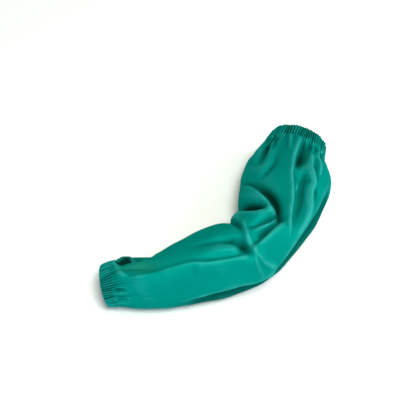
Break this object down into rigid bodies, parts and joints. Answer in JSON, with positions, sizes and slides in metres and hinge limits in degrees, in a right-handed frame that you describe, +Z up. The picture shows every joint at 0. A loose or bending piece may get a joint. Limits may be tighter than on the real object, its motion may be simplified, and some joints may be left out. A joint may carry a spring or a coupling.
{
  "type": "work sleeve",
  "caption": "Bent cloth arm sleeve for work, hollow from end to end, gathered into an elastic casing at the wrist and at the upper arm, lying on its side.",
  "frame": {"origin": "on the floor, under the middle of the sleeve's box", "axes": "+Z up from the floor that the sleeve lies on; +X from the wrist end towards the elbow's outside, the longest extent; +Y towards the upper-arm end"},
  "size_m": [0.3755, 0.3384, 0.1077],
  "materials": {
    "sleeve_cloth": "green cotton sateen with a soft satin lustre",
    "casing_cloth": "green cotton sateen, finely gathered",
    "thread": "green sewing thread"
  },
  "bodies": {
    "root": {"sleeve_body": "sleeve_cloth", "upper_cuff": "casing_cloth", "wrist_cuff": "casing_cloth"}
  },
  "joints": []
}
